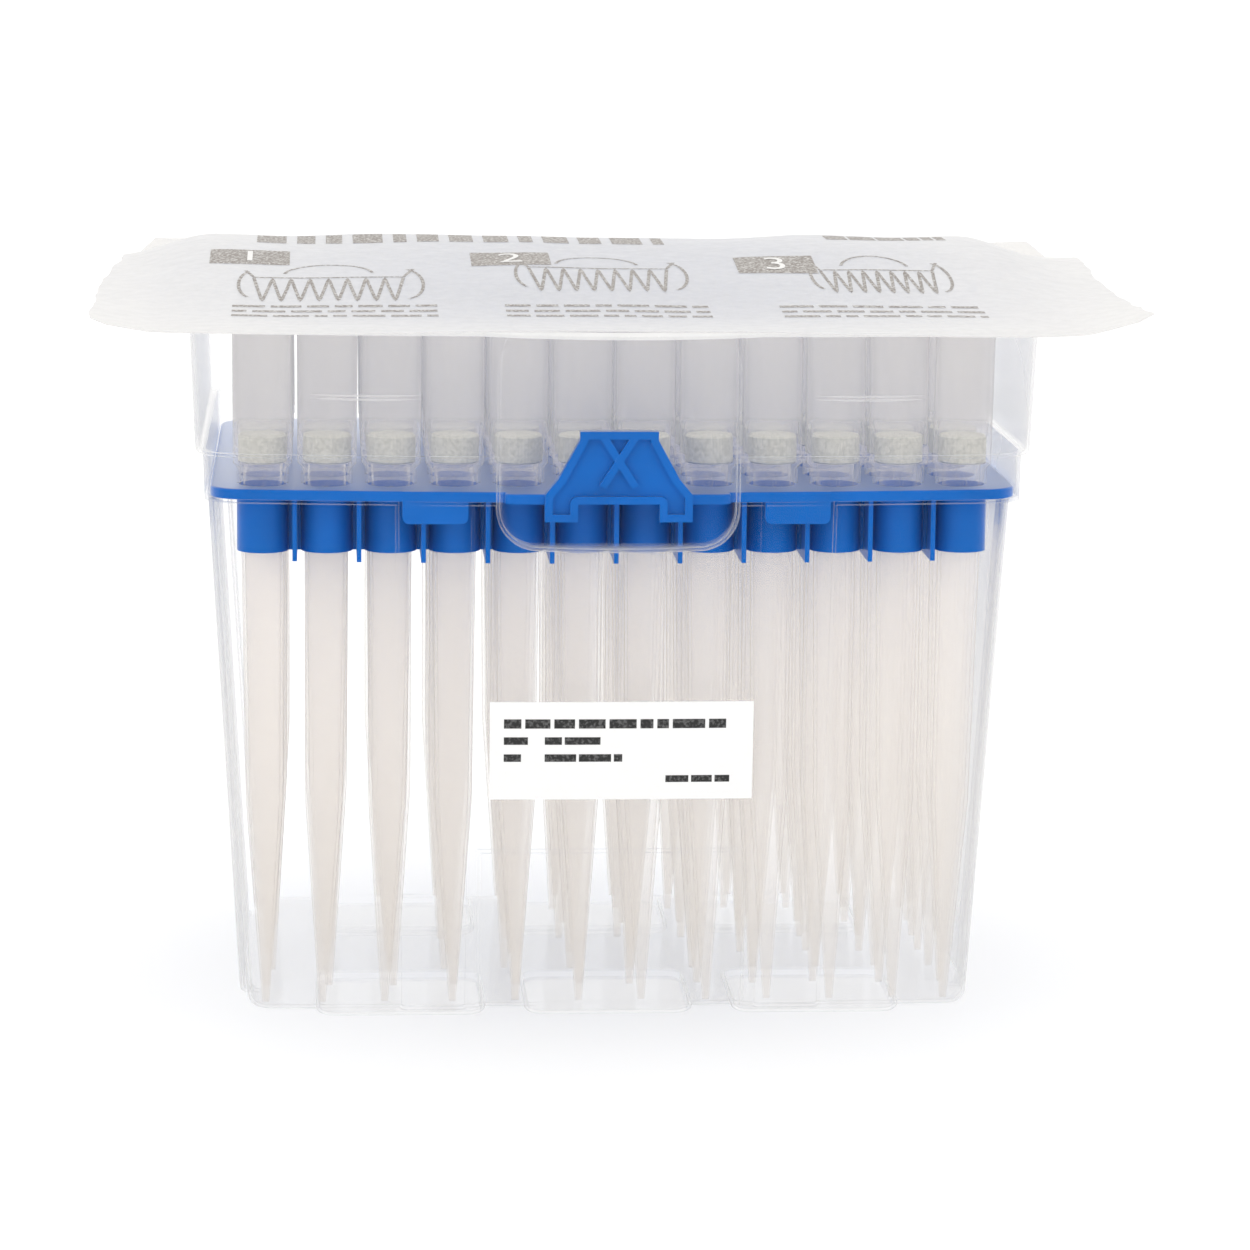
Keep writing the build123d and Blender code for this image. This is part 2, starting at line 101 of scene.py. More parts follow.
# The label's greeked lines, in mm from its left margin and top: start, end, drop, height, seed and gap
LABEL_MARGIN = 2.0 * MM
LABEL_LINES = (
    (0.0, 31.5, 3.2, 1.35, 3, 0.55),
    (0.0, 3.4, 5.7, 1.1, 5, 0.5),
    (5.8, 14.6, 5.7, 1.1, 8, 0.4),
    (0.0, 3.0, 8.2, 1.1, 4, 0.5),
    (5.8, 16.8, 8.2, 1.1, 6, 0.4),
    (23.0, 33.2, 11.3, 1.0, 9, 0.4),
)

# How far the label's bars start in front of it, and how far each print ends up off what it is laid on
PRINT_START = 2.0 * MM
INK_LIFT = 0.03 * MM
NUMBER_LIFT = 0.09 * MM
BAR_LIFT = 0.02 * MM

# The camera: where it stands, how it is turned, in degrees, and its lens, in mm
CAMERA_PLACE = (-0.0405, -0.6315, 0.1657)
CAMERA_YAW = -4.034
CAMERA_DIP = 10.26
CAMERA_ROLL = 0.605
CAMERA_LENS = 123.67
SENSOR_WIDTH = 36.0
CAMERA_REACH = 20.0

# The dome: where it is brightest, and its least and greatest strength
DOME_AIM = (-0.25, 0.35, 0.9)
DOME_DIM = 0.8
DOME_BRIGHT = 1.35
BACKDROP = 1.05

COLUMNS = [name[-2:] for name in sorted(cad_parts) if name.startswith("tips_column_")]


# ---------------------------------------------------------------- sizes and colours

class PackSizes(bpy.types.PropertyGroup):
    """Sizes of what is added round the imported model."""

    crown: bpy.props.FloatProperty(
        name="Film crown", description="How far the film pillows above its seal",
        default=0.0061, unit="LENGTH", subtype="DISTANCE")
    curl: bpy.props.FloatProperty(
        name="Film curl", description="How far the film's rear overhang curls up",
        default=0.0036, unit="LENGTH", subtype="DISTANCE")
    ripple: bpy.props.FloatProperty(
        name="Film ripple", description="Height of the film's loose ripples",
        default=0.0007, unit="LENGTH", subtype="DISTANCE")
    fray: bpy.props.FloatProperty(
        name="Film fray", description="Depth of the notches in the film's torn ends",
        default=0.0022, unit="LENGTH", subtype="DISTANCE")
    film_cell: bpy.props.FloatProperty(
        name="Film grid", description="Cell size of the film's mesh",
        default=0.0012, unit="LENGTH", subtype="DISTANCE")
    stroke: bpy.props.FloatProperty(
        name="Printed line", description="Width of the printed lines on the film",
        default=0.0005, unit="LENGTH", subtype="DISTANCE")
    floor: bpy.props.FloatProperty(
        name="Floor", description="Side of the square floor",
        default=60.0, unit="LENGTH", subtype="DISTANCE")


class PackColours(bpy.types.PropertyGroup):
    """Colours of the pack's materials."""

    rack: bpy.props.FloatVectorProperty(
        name="Rack", description="Blue of the moulded rack", subtype="COLOR",
        default=(0.0, 0.13, 0.52), min=0.0, max=1.0)
    tips: bpy.props.FloatVectorProperty(
        name="Tips", description="Milky white of the tips below the rack", subtype="COLOR",
        default=(0.94, 0.875, 0.815), min=0.0, max=1.0)
    # The hubs' grey is partly their denser plastic and partly painted shade, standing for the shade under
    # the film.
    hubs: bpy.props.FloatVectorProperty(
        name="Hubs", description="Cooler grey of the tips' hubs", subtype="COLOR",
        default=(0.67, 0.645, 0.63), min=0.0, max=1.0)
    # The filters' off-white is dimmed with painted shade, standing for the shade inside the hubs.
    filters: bpy.props.FloatVectorProperty(
        name="Filters", description="Off-white of the filters", subtype="COLOR",
        default=(0.56, 0.55, 0.51), min=0.0, max=1.0)
    film: bpy.props.FloatVectorProperty(
        name="Film", description="White of the lidding film", subtype="COLOR",
        default=(0.8, 0.79, 0.775), min=0.0, max=1.0)
    ink: bpy.props.FloatVectorProperty(
        name="Film print", description="Warm grey of the film's print", subtype="COLOR",
        default=(0.25, 0.225, 0.205), min=0.0, max=1.0)
    label: bpy.props.FloatVectorProperty(
        name="Label", description="White of the label", subtype="COLOR",
        default=(0.93, 0.93, 0.93), min=0.0, max=1.0)
    label_ink: bpy.props.FloatVectorProperty(
        name="Label print", description="Black of the label's bars", subtype="COLOR",
        default=(0.012, 0.012, 0.012), min=0.0, max=1.0)
    floor: bpy.props.FloatVectorProperty(
        name="Floor", description="Pale colour of the floor", subtype="COLOR",
        default=(0.97, 0.97, 0.97), min=0.0, max=1.0)


# ---------------------------------------------------------------- materials

class Nodes:
    """A short way to wire one material's nodes."""

    def __init__(self, name):
        self.material = bpy.data.materials.new(name)
        self.material.use_nodes = True
        self.tree = self.material.node_tree
        self.tree.nodes.clear()
        self.output = self.tree.nodes.new("ShaderNodeOutputMaterial")

    def add(self, kind, **values):
        node = self.tree.nodes.new(kind)
        for key, value in values.items():
            setattr(node, key, value)
        return node

    def plug(self, value, socket):
        """Link another node's output to a socket, or set the socket's own value."""
        if isinstance(value, bpy.types.NodeSocket):
            self.tree.links.new(value, socket)
        else:
            socket.default_value = value

    def math(self, operation, first, second=0.0, clamp=False):
        node = self.add("ShaderNodeMath", operation=operation, use_clamp=clamp)
        self.plug(first, node.inputs[0])
        self.plug(second, node.inputs[1])
        return node.outputs[0]

    def ramp(self, value, low, high, start=0.0, end=1.0):
        """Maps value from start..end to low..high, and holds it there outside."""
        node = self.add("ShaderNodeMapRange")
        self.plug(value, node.inputs["Value"])
        node.inputs["From Min"].default_value = start
        node.inputs["From Max"].default_value = end
        node.inputs["To Min"].default_value = low
        node.inputs["To Max"].default_value = high
        return node.outputs["Result"]

    def mix_colour(self, factor, first, second):
        node = self.add("ShaderNodeMix", data_type="RGBA")
        self.plug(factor, node.inputs["Factor"])
        self.plug(first, node.inputs[6])
        self.plug(second, node.inputs[7])
        return node.outputs[2]

    def noise(self, scale, detail=2.0, stretch=(1.0, 1.0, 1.0), roughness=0.5):
        place = self.add("ShaderNodeTexCoord")
        mapping = self.add("ShaderNodeMapping")
        mapping.inputs["Scale"].default_value = stretch
        self.plug(place.outputs["Object"], mapping.inputs["Vector"])
        node = self.add("ShaderNodeTexNoise")
        self.plug(mapping.outputs["Vector"], node.inputs["Vector"])
        node.inputs["Scale"].default_value = scale
        node.inputs["Detail"].default_value = detail
        node.inputs["Roughness"].default_value = roughness
        return node.outputs["Fac"]

    def bump(self, height, distance, strength=1.0):
        node = self.add("ShaderNodeBump")
        node.inputs["Strength"].default_value = strength
        node.inputs["Distance"].default_value = distance
        self.plug(height, node.inputs["Height"])
        return node.outputs["Normal"]

    def facing(self, blend):
        """0 where the surface faces the eye and 1 where it turns away."""
        node = self.add("ShaderNodeLayerWeight")
        node.inputs["Blend"].default_value = blend
        return node.outputs["Facing"]

    def height(self):
        """Height above the plane that the pack stands on."""
        place = self.add("ShaderNodeTexCoord")
        split = self.add("ShaderNodeSeparateXYZ")
        self.plug(place.outputs["Object"], split.inputs[0])
        return split.outputs["Z"]

    def upward(self):
        """1 on surfaces that face up, 0 on upright ones."""
        place = self.add("ShaderNodeNewGeometry")
        split = self.add("ShaderNodeSeparateXYZ")
        self.plug(place.outputs["Normal"], split.inputs[0])
        return split.outputs["Z"]

    def mix(self, factor, first, second):
        node = self.add("ShaderNodeMixShader")
        self.plug(factor, node.inputs[0])
        self.tree.links.new(first, node.inputs[1])
        self.tree.links.new(second, node.inputs[2])
        return node.outputs[0]

    def finish(self, shader):
        self.tree.links.new(shader, self.output.inputs["Surface"])
        return self.material


def rgba(colour):
    return (*colour[:3], 1.0)


def clear_tray_material():
    """Clear thermoformed sheet: see-through face on, milky where it turns away and along its cut edge."""
    n = Nodes("clear_tray")
    body = n.add("ShaderNodeBsdfTransparent")
    turn = n.math("POWER", n.facing(0.5), 4.0)
    n.plug(n.mix_colour(turn, (0.995, 0.996, 0.998, 1.0), (0.8, 0.8, 0.81, 1.0)), body.inputs["Color"])
    haze = n.add("ShaderNodeBsdfDiffuse")
    haze.inputs["Color"].default_value = (0.92, 0.915, 0.905, 1.0)
    gloss = n.add("ShaderNodeBsdfAnisotropic")
    gloss.inputs["Color"].default_value = (0.97, 0.97, 0.97, 1.0)
    n.plug(n.ramp(n.noise(70.0, 0.0, (1.0, 1.0, 0.2)), 0.06, 0.2, 0.3, 0.7), gloss.inputs["Roughness"])
    edge = n.ramp(n.height(), 0.0, 0.18, TRAY_HIGH.z - 0.6 * MM, TRAY_HIGH.z - 0.4 * MM)
    misty = n.mix(n.math("ADD", n.ramp(turn, 0.004, 0.55), edge), body.outputs[0], haze.outputs[0])
    return n.finish(n.mix(n.ramp(turn, 0.002, 0.3), misty, gloss.outputs[0]))


def rack_material(colours):
    """Blue moulded plastic with a fine satin grain, a little deeper in clouds, whitish at a glance."""
    n = Nodes("rack_blue")
    cloud = n.noise(120.0, 2.0)
    deep = rgba([0.85 * c for c in colours.rack])
    shader = n.add("ShaderNodeBsdfPrincipled")
    n.plug(n.mix_colour(n.ramp(cloud, 0.0, 1.0, 0.3, 0.7), deep, rgba(colours.rack)),
           shader.inputs["Base Color"])
    n.plug(n.ramp(cloud, 0.34, 0.46), shader.inputs["Roughness"])
    shader.inputs["Specular IOR Level"].default_value = 0.1
    n.plug(n.bump(n.noise(2600.0, 1.0), 0.00001), shader.inputs["Normal"])
    glance = n.add("ShaderNodeBsdfAnisotropic")
    glance.inputs["Roughness"].default_value = 0.3
    level = n.ramp(n.upward(), 0.35, 1.0, 0.5, 0.95)
    turn = n.math("MULTIPLY", n.math("POWER", n.facing(0.5), 3.5), level)
    return n.finish(n.mix(turn, shader.outputs[0], glance.outputs[0]))


def tip_material(colours):
    """Natural plastic: milky and see-through; denser in the hubs, whose cooler grey is partly painted
    shade under the film; a thin dark line of painted shade along each silhouette.
    """
    n = Nodes("tip_plastic")
    height = n.height()
    low = rgba([0.8 * c for c in colours.tips])
    colour = n.mix_colour(n.ramp(height, 0.0, 1.0, 10.0 * MM, 62.0 * MM), low, rgba(colours.tips))
    # Up into the hubs the colour turns to the hubs' grey: partly their denser plastic, partly painted
    # shade under the film.
    colour = n.mix_colour(n.ramp(height, 0.0, 1.0, RACK_HIGH.z - 11.0 * MM, RACK_HIGH.z),
                          colour, rgba(colours.hubs))
    # Painted shade: where the surface turns from the eye the colour goes to dark grey, a thin line along
    # each tip's silhouette.
    outline = n.math("MULTIPLY", n.math("POWER", n.facing(0.5), 6.0), 0.8)
    colour = n.mix_colour(outline, colour, (0.3, 0.3, 0.3, 1.0))
    clear = n.add("ShaderNodeBsdfTransparent")
    front = n.add("ShaderNodeBsdfDiffuse")
    n.plug(colour, front.inputs["Color"])
    through = n.add("ShaderNodeBsdfTranslucent")
    n.plug(colour, through.inputs["Color"])
    milk = n.mix(0.5, front.outputs[0], through.outputs[0])
    streak = n.ramp(n.noise(260.0, 0.0, (1.0, 1.0, 0.12)), 0.15, 0.2, 0.3, 0.7)
    thin = n.ramp(height, 1.0, 0.5, RACK_HIGH.z - 12.0 * MM, RACK_HIGH.z - 10.0 * MM)
    streak = n.math("MULTIPLY", streak, thin)
    turn = n.math("MULTIPLY", n.math("POWER", n.facing(0.5), 4.0), 0.5)
    dense = n.ramp(height, 0.0, 0.3, RACK_HIGH.z - 2.0 * MM, RACK_HIGH.z + 1.0 * MM)
    cover = n.math("ADD", n.math("ADD", streak, turn), dense)
    return n.finish(n.mix(cover, clear.outputs[0], milk))


def filter_material(colours):
    """Sintered plug: matt and grainy, with small open pores."""
    n = Nodes("filter")
    pores = n.noise(1800.0, 4.0)
    shader = n.add("ShaderNodeBsdfPrincipled")
    dark = rgba([0.8 * c for c in colours.filters])
    # Painted shade: the filters' colour is dimmed for the shade inside the hubs.
    n.plug(n.mix_colour(n.ramp(pores, 0.0, 1.0, 0.35, 0.6), dark, rgba(colours.filters)),
           shader.inputs["Base Color"])
    shader.inputs["Roughness"].default_value = 0.9
    n.plug(n.bump(pores, 0.00008), shader.inputs["Normal"])
    return n.finish(shader.outputs[0])


def film_material(colours):
    """Spun-bonded film: white fibres in swirls, partly see-through, matt on top."""
    n = Nodes("film")
    fibre = n.noise(420.0, 2.0, (1.0, 1.0, 1.0), 0.65)
    cloud = n.noise(60.0, 1.0)
    clear = n.add("ShaderNodeBsdfTransparent")
    clear.inputs["Color"].default_value = (0.99, 0.985, 0.98, 1.0)
    paper = n.add("ShaderNodeBsdfDiffuse")
    shade = rgba([0.97 * c for c in colours.film])
    n.plug(n.mix_colour(n.ramp(fibre, 0.0, 1.0, 0.3, 0.7), shade, rgba(colours.film)),
           paper.inputs["Color"])
    glow = n.add("ShaderNodeBsdfTranslucent")
    glow.inputs["Color"].default_value = rgba(colours.film)
    n.plug(n.bump(fibre, 0.00002), paper.inputs["Normal"])
    body = n.mix(0.35, paper.outputs[0], glow.outputs[0])
    cover = n.math("ADD", n.ramp(fibre, 0.54, 0.62, 0.3, 0.7), n.ramp(cloud, -0.04, 0.04, 0.3, 0.7))
    cover = n.math("ADD", cover, n.math("MULTIPLY", n.facing(0.35), 0.35), clamp=True)
    sheen = n.add("ShaderNodeBsdfAnisotropic")
    sheen.inputs["Roughness"].default_value = 0.38
    mat = n.mix(cover, clear.outputs[0], body)
    glance = n.ramp(n.math("POWER", n.facing(0.5), 4.0), 0.01, 0.3)
    return n.finish(n.mix(glance, mat, sheen.outputs[0]))


def print_material(name, colour, paper, wear):
    """Ink that lies in the grain of what it is printed on, with small bare specks."""
    n = Nodes(name)
    speck = n.noise(2400.0, 3.0)
    shader = n.add("ShaderNodeBsdfPrincipled")
    n.plug(n.mix_colour(n.ramp(speck, wear, 0.0, 0.38, 0.52), rgba(colour), rgba(paper)),
           shader.inputs["Base Color"])
    shader.inputs["Roughness"].default_value = 0.6
    return n.finish(shader.outputs[0])


def label_material(colours):
    """Coated white paper with a barely visible tooth."""
    n = Nodes("label_paper")
    tooth = n.noise(1500.0, 3.0)
    shader = n.add("ShaderNodeBsdfPrincipled")
    shade = rgba([0.97 * c for c in colours.label])
    n.plug(n.mix_colour(tooth, shade, rgba(colours.label)), shader.inputs["Base Color"])
    n.plug(n.ramp(tooth, 0.42, 0.55), shader.inputs["Roughness"])
    n.plug(n.bump(tooth, 0.000012), shader.inputs["Normal"])
    return n.finish(shader.outputs[0])


def floor_material(colours):
    """Plain pale table, with a trace of mottling."""
    n = Nodes("floor")
    shader = n.add("ShaderNodeBsdfPrincipled")
    shade = rgba([0.985 * c for c in colours.floor])
    n.plug(n.mix_colour(n.noise(6.0, 2.0), shade, rgba(colours.floor)), shader.inputs["Base Color"])
    shader.inputs["Roughness"].default_value = 0.7
    return n.finish(shader.outputs[0])


# ---------------------------------------------------------------- shared steps

def deselect_all():
    if bpy.context.object and bpy.context.object.mode != "OBJECT":
        bpy.ops.object.mode_set(mode="OBJECT")
    bpy.ops.object.select_all(action="DESELECT")


def make_active(piece):
    deselect_all()
    piece.select_set(True)
    bpy.context.view_layer.objects.active = piece


def settle(piece, material):
    """Gives a finished piece its material and body."""
    piece.data.materials.clear()
    piece.data.materials.append(material)
    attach(piece, BODY)
    return piece


def smooth_copy(node, name, material, angle=38.0, shades=True):
    """A merged copy of a CAD node, shaded smooth over its curves, which stands for the node.
    A see-through piece lets the light by, so it shades nothing."""
    piece = bpy.data.objects.new(name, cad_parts[node].data.copy())
    bpy.context.scene.collection.objects.link(piece)
    make_active(piece)
    if piece.data.has_custom_normals:
        bpy.ops.mesh.customdata_custom_splitnormals_clear()
    bpy.ops.object.mode_set(mode="EDIT")
    bpy.ops.mesh.select_all(action="SELECT")
    bpy.ops.mesh.remove_doubles(threshold=0.000002)
    bpy.ops.object.mode_set(mode="OBJECT")
    bpy.ops.object.shade_smooth_by_angle(angle=math.radians(angle))
    piece.visible_shadow = shades
    piece.visible_diffuse = shades
    piece.visible_transmission = shades
    settle(piece, material)
    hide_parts(node)
    return piece


def ease(value):
    """0 to 1 with a soft start and end, held outside that range."""
    value = min(max(value, 0.0), 1.0)
    return value * value * (3.0 - 2.0 * value)


def new_piece(name, mesh):
    piece = bpy.data.objects.new(name, mesh)
    bpy.context.scene.collection.objects.link(piece)
    return piece


# ---------------------------------------------------------------- film

def film_height(x, y, sizes):
    """The film's upper surface: down at the front, pillowed towards the back, loose and curled outside."""
    seal = TRAY_HIGH.z + SEAL_LIFT
    front = -(TRAY_HIGH.y - PILLOW_FRONT)
    back = TRAY_HIGH.y - PILLOW_BACK
    over_x = max(abs(x) - TRAY_HIGH.x, 0.0) / OVERHANG_RUN
    over_back = ease((y - (FILM_HIGH.y - CURL_RUN)) / CURL_RUN)
    over_front = ease((-y - (TRAY_HIGH.y - DROOP_START)) / DROOP_RUN)
    sides = 1.0 - PILLOW_END_LOSS * ease((abs(x) - PILLOW_END) / PILLOW_END_RUN)
    pillow = sides * ease((y - front) / PILLOW_RISE) * ease((back - y) / PILLOW_FALL)
    wave = noise.noise(Vector((x * 26.0, y * 34.0, 1.7)))
    wave += 0.45 * noise.noise(Vector((x * 75.0, y * 60.0, 5.1)))
    droop = 0.0009 * over_front * (0.4 + noise.noise(Vector((x * 30.0, 9.0, 0.0))))
    end = 0.0016 * over_x ** 1.4 * noise.noise(Vector((x * 8.0, y * 42.0, 3.3)))
    end += 0.0012 * over_x * (1.0 - ease((y + 0.03) / 0.05))
    ripple = sizes.ripple * wave * (0.25 + 0.9 * pillow + 0.8 * min(over_x, 1.0))
    lift = sizes.crown * pillow + sizes.curl * over_back + ripple - droop + end
    return seal + max(lift, 0.02 * MM - 0.6 * MM * (over_front + over_x))


def film_end(side, y, sizes):
    """Where the film stops at one end: almost straight, with small torn notches."""
    reach = FILM_HIGH.x - (1.8 + 2.2 * ease((y + 0.02) / 0.06) if side < 0 else 0.4) * MM
    tear = noise.noise(Vector((y * 95.0, side * 7.0, 0.4)))
    step = noise.noise(Vector((math.floor(y / 0.013) * 3.7, side * 5.0, 2.2)))
    notch = sizes.fray * (0.45 * abs(tear) + 0.55 * max(step, 0.0))
    corner = ease((abs(y) - FILM_HIGH.y + 0.006) / 0.006) * 0.0035
    return side * (reach - notch - corner)


def film_front(x):
    """The film's front edge: back a little over the tray's lip, and swept back at its corners."""
    middle = math.exp(-(x / 0.03) ** 2) * 0.0026
    sweep = ease((abs(x) - 0.058) / 0.019) * 0.005
    ragged = 0.0004 * noise.noise(Vector((x * 60.0, 2.0, 8.0)))
    return FILM_LOW.y + middle + sweep + ragged


def build_film(sizes):
    """A fine grid, drawn to the film's outline and lifted to its surface, then given its thickness."""
    deselect_all()
    length = FILM_HIGH.x - FILM_LOW.x
    depth = FILM_HIGH.y - FILM_LOW.y
    bpy.ops.mesh.primitive_grid_add(
        x_subdivisions=round(length / sizes.film_cell), y_subdivisions=round(depth / sizes.film_cell),
        size=1.0, location=(0.0, 0.0, 0.0))
    film = bpy.context.object
    film.name = "film_sheet"
    for vertex in film.data.vertices:
        along, across = vertex.co.x + 0.5, vertex.co.y + 0.5
        y = FILM_LOW.y + across * depth
        x = film_end(-1, y, sizes) * (1.0 - along) + film_end(1, y, sizes) * along
        front = film_front(x)
        y = front + across * (FILM_HIGH.y - front)
        vertex.co = (x, y, film_height(x, y, sizes))
    film.data.update()
    make_active(film)
    thick = film.modifiers.new("thickness", "SOLIDIFY")
    thick.thickness = FILM_THICKNESS
    thick.offset = -1.0
    bpy.ops.object.modifier_apply(modifier=thick.name)
    bpy.ops.object.shade_smooth_by_angle(angle=math.radians(50.0))
    return film


# ---------------------------------------------------------------- print on the film

class Print:
    """Flat printed shapes, gathered in one mesh in X and Y before they are laid on the film."""

    STRIP = 1.5 * MM
    STEP = 0.0012
    ARC_STEP = 9.0
    SHORTEST_WORD = 0.0016
    LONGEST_WORD = 0.0052
    LEAST_REST = 0.001

    def __init__(self):
        self.mesh = bmesh.new()

    def ribbon(self, points, width):
        """A line of constant width through points, cut into short steps."""
        fine = [Vector(points[0])]
        for first, second in zip(points, points[1:]):
            first, second = Vector(first), Vector(second)
            steps = max(1, math.ceil((second - first).length / self.STEP))
            fine += [first.lerp(second, (i + 1) / steps) for i in range(steps)]
        rails = []
        for i, point in enumerate(fine):
            ahead = (fine[min(i + 1, len(fine) - 1)] - fine[max(i - 1, 0)]).normalized()
            normal = Vector((-ahead.y, ahead.x)) * width / 2
            rails.append([self.mesh.verts.new((*(point + side * normal), 0.0)) for side in (-1, 1)])
        for (a, b), (c, d) in zip(rails, rails[1:]):
            self.mesh.faces.new((a, c, d, b))

    def bar(self, left, right, y, height):
        """A filled bar, cut into narrow strips so that it follows a curved surface."""
        strips = max(1, math.ceil(height / self.STRIP))
        for i in range(strips):
            middle = y + height * ((i + 0.5) / strips - 0.5)
            self.ribbon([(left, middle), (right, middle)], height / strips)

    def arc(self, centre, radius_x, radius_y, start, end, width):
        """An open arc of an ellipse, between two angles in degrees."""
        steps = max(6, int(abs(end - start) / self.ARC_STEP))
        points = []
        for i in range(steps + 1):
            angle = math.radians(start + (end - start) * i / steps)
            points.append((centre[0] + radius_x * math.cos(angle),
                           centre[1] + radius_y * math.sin(angle)))
        self.ribbon(points, width)

    def words(self, left, right, y, height, seed, gap=0.0008):
        """A greeked line: short bars of uneven length with gaps, in place of words."""
        draw = random.Random(seed)
        x = left
        while x < right - self.LEAST_REST:
            run = min(draw.uniform(self.SHORTEST_WORD, self.LONGEST_WORD), right - x)
            self.bar(x, x + run, y, height)
            x += run + gap

    def piece(self, name, above=0.0):
        """Closes the print as a mesh, raised clear above what it will be laid on."""
        bmesh.ops.translate(self.mesh, verts=self.mesh.verts, vec=(0.0, 0.0, 2.0 * above))
        mesh = bpy.data.meshes.new(name)
        self.mesh.to_mesh(mesh)
        self.mesh.free()
        return new_piece(name, mesh)


def rack_icon(draw, left, right, low, high, width, teeth):
    """Line drawing of a rack: a zigzag row of tips under a bent line, with loose curves round it."""
    span = right - left
    depth = high - low
    points = []
    for i in range(2 * teeth + 1):
        points.append((left + span * i / (2 * teeth), low + (0.62 * depth if i % 2 == 0 else 0.0)))
    draw.ribbon(points, width)
    draw.ribbon([(left - 0.06 * span, low + 0.82 * depth), (left, low + 0.64 * depth),
                 (right, low + 0.64 * depth), (right + 0.07 * span, low + 0.86 * depth)], width)
    draw.arc((left + 0.5 * span, low + 0.7 * depth), 0.3 * span, 0.3 * depth, 10, 170, width)
    draw.arc((right, low + 0.45 * depth), 0.13 * span, 0.4 * depth, -80, 80, width)
    draw.arc((left, low + 0.45 * depth), 0.1 * span, 0.36 * depth, 110, 250, width)


def lay_on(piece, target, axis, lift):
    """Presses flat print on to the surface below or behind it, and leaves it a hair above."""
    make_active(piece)
    wrap = piece.modifiers.new("lay", "SHRINKWRAP")
    wrap.target = target
    wrap.wrap_method = "PROJECT"
    wrap.use_project_x = False
    wrap.use_project_y = axis == "Y"
    wrap.use_project_z = axis == "Z"
    wrap.use_negative_direction = axis == "Z"
    wrap.use_positive_direction = axis == "Y"
    wrap.offset = lift
    bpy.ops.object.modifier_apply(modifier=wrap.name)


def film_artwork(sizes):
    """Three plaques, each with a drawing and greeked lines, and a greeked title."""
    draw = Print()
    for index, (left, right, low, high) in enumerate(DRAWINGS):
        x, y = PLAQUES[index]
        draw.bar(x - PLAQUE_LENGTH / 2, x + PLAQUE_LENGTH / 2, y, PLAQUE_DEPTH)
        rack_icon(draw, left, right, low, high, sizes.stroke, DRAWN_TIPS)
        for row in range(NOTE_ROWS):
            place = NOTE_PLACE - row * NOTE_PITCH
            draw.words(x - NOTE_LEFT, x + NOTE_RIGHT, place, NOTE_HEIGHT, 10 * index + row)
    for left, right, place, height, seed, gap in TITLE_RUNS:
        draw.words(left, right, place, height, seed, gap)
    return draw.piece("film_print", above=FILM_HIGH.z)


def numeral(text, place, height):
    """One plain number as a flat mesh above the film, cut fine enough to follow it."""
    deselect_all()
    bpy.ops.object.text_add(location=(0.0, 0.0, 0.0))
    words = bpy.context.object
    words.data.body = text
    words.data.align_x = "CENTER"
    words.data.align_y = "CENTER"
    words.data.size = 1.0
    bpy.ops.object.convert(target="MESH")
    piece = bpy.context.object
    piece.name = "film_number_" + text
    bpy.ops.object.mode_set(mode="EDIT")
    bpy.ops.mesh.select_all(action="SELECT")
    bpy.ops.mesh.subdivide(number_cuts=3)
    bpy.ops.object.mode_set(mode="OBJECT")
    x, y = place
    for vertex in piece.data.vertices:
        vertex.co = (x + vertex.co.x * height * 0.75, y + vertex.co.y * height, 2.0 * FILM_HIGH.z)
    return piece


# ---------------------------------------------------------------- operators

def sizes_of(context):
    return context.scene.pack_sizes


def colours_of(context):
    return context.scene.pack_colours


class PACK_OT_tray(bpy.types.Operator):
    """Dress the clear blister tray"""

    bl_idname = "pack.tray"
    bl_label = "Blister tray"

    def execute(self, context):
        smooth_copy("blister_tray", "tray_shell", clear_tray_material(), 32.0,
                    shades=False)
        return {"FINISHED"}


class PACK_OT_rack(bpy.types.Operator):
    """Dress the blue tip rack"""

    bl_idname = "pack.rack"
    bl_label = "Tip rack"

    def execute(self, context):
        smooth_copy("tip_rack", "rack_moulding", rack_material(colours_of(context)))
        return {"FINISHED"}


class PACK_OT_tips(bpy.types.Operator):
    """Dress the tips, column by column"""

    bl_idname = "pack.tips"
    bl_label = "Tips"

    def execute(self, context):
        plastic = tip_material(colours_of(context))
        for column in COLUMNS:
            smooth_copy("tips_column_" + column, "tips_" + column, plastic,
                        shades=False)
        return {"FINISHED"}


class PACK_OT_filters(bpy.types.Operator):
    """Dress the filters in the tips' hubs"""

    bl_idname = "pack.filters"
    bl_label = "Filters"

    def execute(self, context):
        porous = filter_material(colours_of(context))
        for column in COLUMNS:
            smooth_copy("filters_column_" + column, "filters_" + column, porous,
                        shades=False)
        return {"FINISHED"}


class PACK_OT_film(bpy.types.Operator):
    """Lay the lidding film with its ripples, curl and torn ends, and print it"""

    bl_idname = "pack.film"
    bl_label = "Lidding film"

    def execute(self, context):
        sizes = sizes_of(context)
        colours = colours_of(context)
        film = build_film(sizes)
        settle(film, film_material(colours))
        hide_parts("lidding_film")
        film.visible_shadow = False
        film.visible_diffuse = False
        film.visible_transmission = False
        ink = print_material("film_ink", colours.ink, colours.film, 0.55)
        art = film_artwork(sizes)
        lay_on(art, film, "Z", INK_LIFT)
        settle(art, ink)
        white = print_material("film_number_white", colours.film, colours.ink, 0.1)
        for index, place in enumerate(PLAQUES):
            number = numeral(str(index + 1), place, PLAQUE_DEPTH)
            lay_on(number, film, "Z", NUMBER_LIFT)
            settle(number, white)
        return {"FINISHED"}


